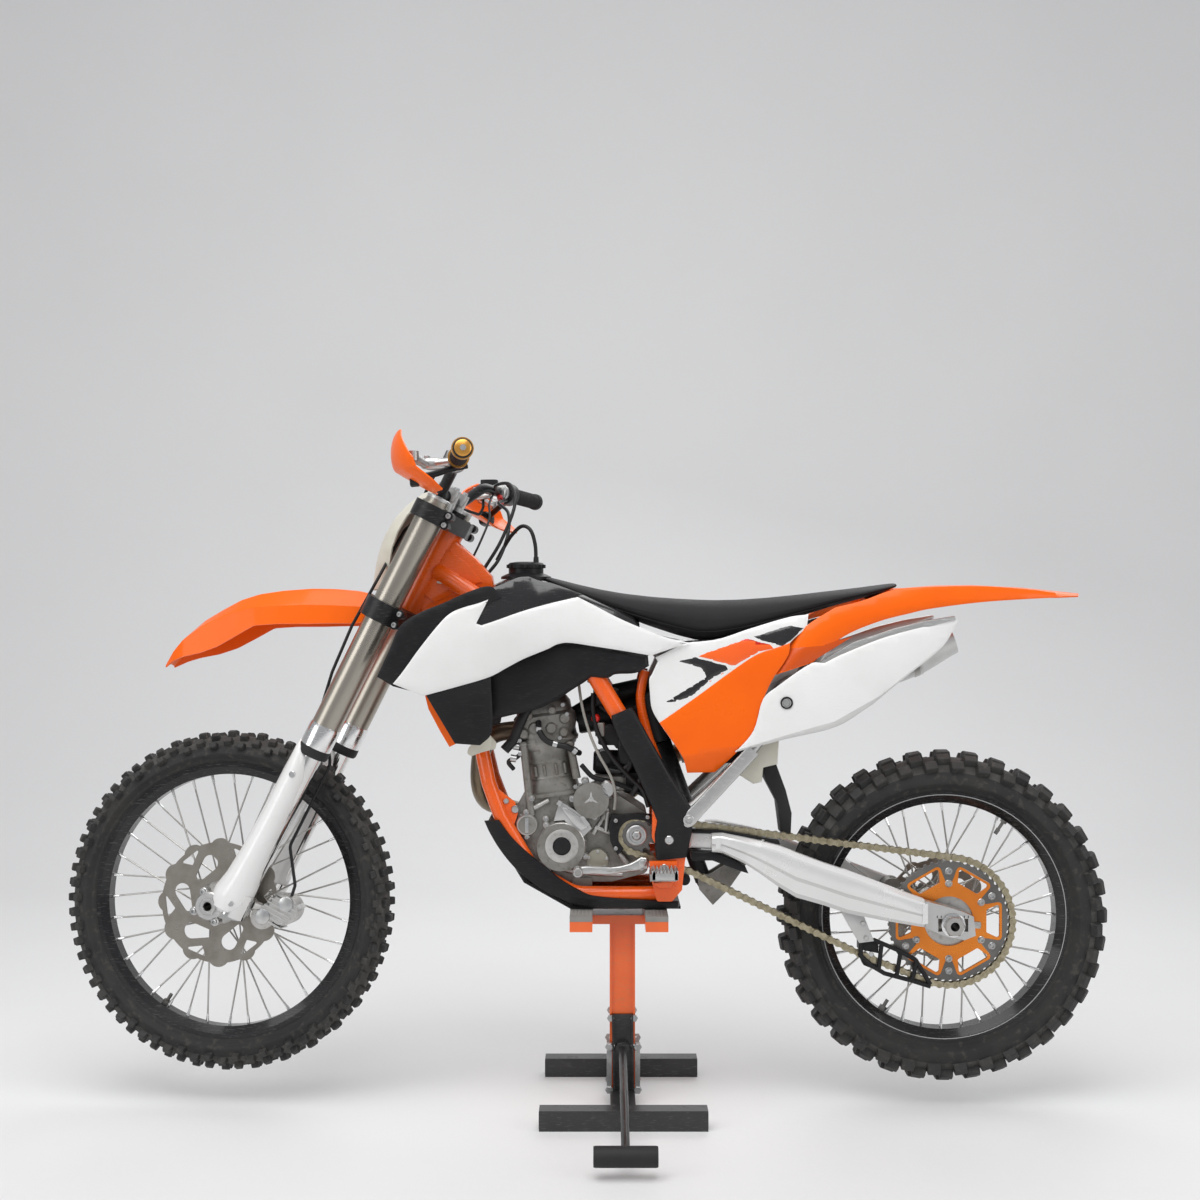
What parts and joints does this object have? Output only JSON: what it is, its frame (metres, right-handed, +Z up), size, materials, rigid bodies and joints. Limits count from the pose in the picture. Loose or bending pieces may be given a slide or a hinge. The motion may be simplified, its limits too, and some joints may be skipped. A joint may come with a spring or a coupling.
{
  "type": "motocross bike on a lift stand",
  "caption": "Off-road motorcycle with wire-spoked wheels, upside-down fork and chain drive, raised on a scissor lift stand.",
  "frame": {"origin": "on the floor, under the middle of the stand's crossbar", "axes": "+X forward, +Y to the rider's left, +Z up"},
  "size_m": [2.1589, 0.8758, 1.3435],
  "materials": {
    "frame_orange": "satin",
    "alloy_raw": "satin",
    "cast_alloy": "rough",
    "anodised_tube": "satin",
    "chrome_leg": "polished",
    "black_metal": "satin",
    "black_rim": "gloss",
    "steel": "brushed",
    "disc_steel": "brushed",
    "orange_plastic": "gloss",
    "white_plastic": "gloss",
    "black_plastic": "matte",
    "tyre_rubber": "matte",
    "rubber": "matte",
    "seat_cover": "matte",
    "chain_gold": "satin",
    "anodised_orange": "satin",
    "stand_orange": "satin"
  },
  "bodies": {
    "chassis": {"airbox": "black_plastic", "chain": "chain_gold", "chain_guide": "black_plastic", "chain_roller": "black_plastic", "crankcase": "cast_alloy", "cylinder": "cast_alloy", "drive_sprocket": "steel", "exhaust": "steel", "foot_controls": "steel", "frame": "frame_orange", "frame_guards": "black_plastic", "fuel_tank": "black_plastic", "radiators": "alloy_raw", "rear_axle": "steel", "rear_caliper": "cast_alloy", "rear_fender": "orange_plastic", "seat": "seat_cover", "shock_absorber": "black_metal", "shock_linkage": "alloy_raw", "shroud_louvres": "black_plastic", "shrouds": "white_plastic", "side_panels": "orange_plastic", "skid_plate": "black_plastic", "stand_base": "black_metal", "stand_column": "stand_orange", "stand_pads": "rubber", "stand_pedal": "black_metal", "subframe": "alloy_raw", "swingarm": "alloy_raw", "swingarm_ends": "alloy_raw", "tail_panels": "white_plastic"},
    "steering": {"bar_clamps": "alloy_raw", "brake_hose": "rubber", "fork_clamps": "black_metal", "fork_guards": "white_plastic", "fork_legs": "chrome_leg", "fork_tubes": "anodised_tube", "front_axle": "steel", "front_caliper": "cast_alloy", "front_fender": "orange_plastic", "grips": "rubber", "hand_controls": "alloy_raw", "hand_guards": "orange_plastic", "handlebar": "black_metal", "number_plate": "white_plastic"},
    "front_wheel": {"front_disc": "disc_steel", "front_hub": "alloy_raw", "front_rim": "black_rim", "front_spokes": "steel", "front_tyre": "tyre_rubber"},
    "rear_wheel": {"rear_disc": "disc_steel", "rear_hub": "alloy_raw", "rear_rim": "black_rim", "rear_spokes": "steel", "rear_sprocket": "anodised_orange", "rear_sprocket_ring": "steel", "rear_tyre": "tyre_rubber"}
  },
  "joints": [
    {"name": "steering", "type": "hinge", "parent": "chassis", "child": "steering", "pos_m": [0.5853, 0, 0.7222], "axis": [-0.4462, 0, 0.8949], "range_deg": [-34, 50]},
    {"name": "front_wheel_spin", "type": "hinge", "parent": "steering", "child": "front_wheel", "pos_m": [0.81245, -0.00932, 0.41531], "axis": [0.1246, 0.9903, 0.0621], "continuous": true},
    {"name": "rear_wheel_spin", "type": "hinge", "parent": "chassis", "child": "rear_wheel", "pos_m": [-0.66, 0, 0.385], "axis": [0, 1, 0], "continuous": true}
  ]
}
